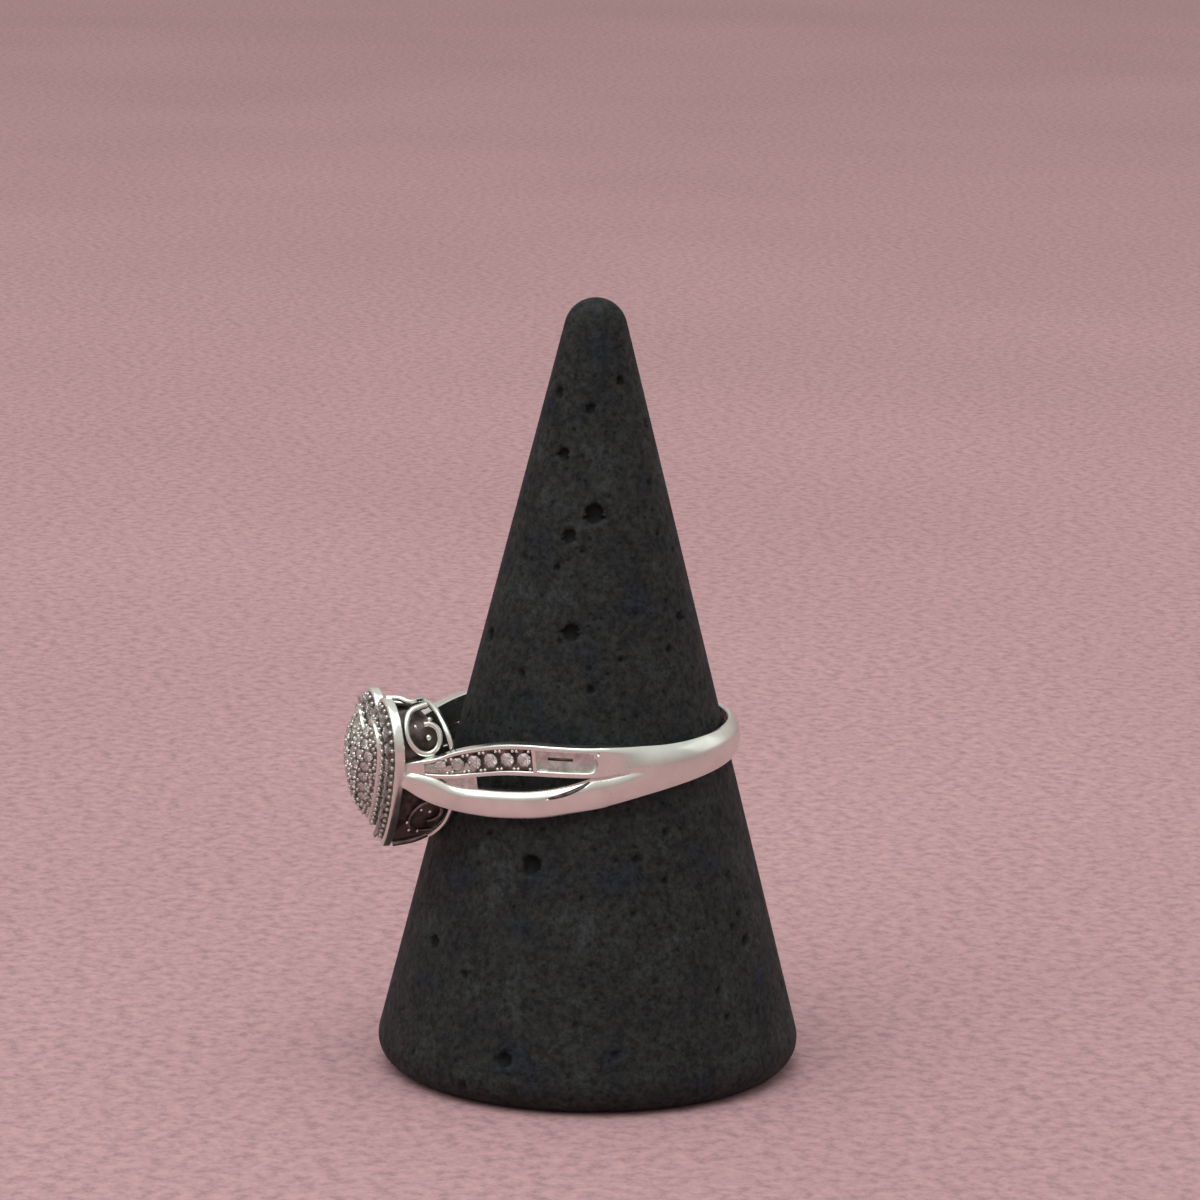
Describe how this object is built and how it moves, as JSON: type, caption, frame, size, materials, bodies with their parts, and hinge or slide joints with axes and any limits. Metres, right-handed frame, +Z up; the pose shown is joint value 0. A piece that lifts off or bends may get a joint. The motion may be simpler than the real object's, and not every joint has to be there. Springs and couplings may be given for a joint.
{
  "type": "promise ring on cone stand",
  "caption": "Heart headed bypass promise ring with diamonds, in silver, hung on a plain lava stone display cone.",
  "frame": {"origin": "middle of the cone's flat base, at the height of the table", "axes": "+Z up along the cone's axis; the ring's heart faces -Y; +X is the side of the ring that the picture shows"},
  "size_m": [0.0256, 0.028, 0.0469],
  "materials": {
    "lava_stone": "matt, fine grained, with small open pores",
    "silver": "polished sterling silver, darkened in its recesses",
    "diamond": "cut and clear"
  },
  "bodies": {
    "root": {"cone_stand": "lava_stone", "ring_mounting": "silver", "dome_stones": "diamond", "near_stone_1": "diamond", "near_stone_2": "diamond", "near_stone_3": "diamond", "near_stone_4": "diamond", "near_stone_5": "diamond", "near_stone_6": "diamond", "far_stone_1": "diamond", "far_stone_2": "diamond", "far_stone_3": "diamond", "far_stone_4": "diamond", "far_stone_5": "diamond", "far_stone_6": "diamond", "halo_stone_1": "diamond", "halo_stone_2": "diamond", "halo_stone_3": "diamond", "halo_stone_4": "diamond", "halo_stone_5": "diamond", "halo_stone_6": "diamond", "halo_stone_7": "diamond", "halo_stone_8": "diamond", "halo_stone_9": "diamond", "halo_stone_10": "diamond", "halo_stone_11": "diamond", "halo_stone_12": "diamond", "halo_stone_13": "diamond", "halo_stone_14": "diamond", "halo_stone_15": "diamond", "halo_stone_16": "diamond", "halo_stone_17": "diamond", "halo_stone_18": "diamond", "halo_stone_19": "diamond", "halo_stone_20": "diamond", "halo_stone_21": "diamond", "halo_stone_22": "diamond", "halo_stone_23": "diamond", "halo_stone_24": "diamond"}
  },
  "joints": []
}
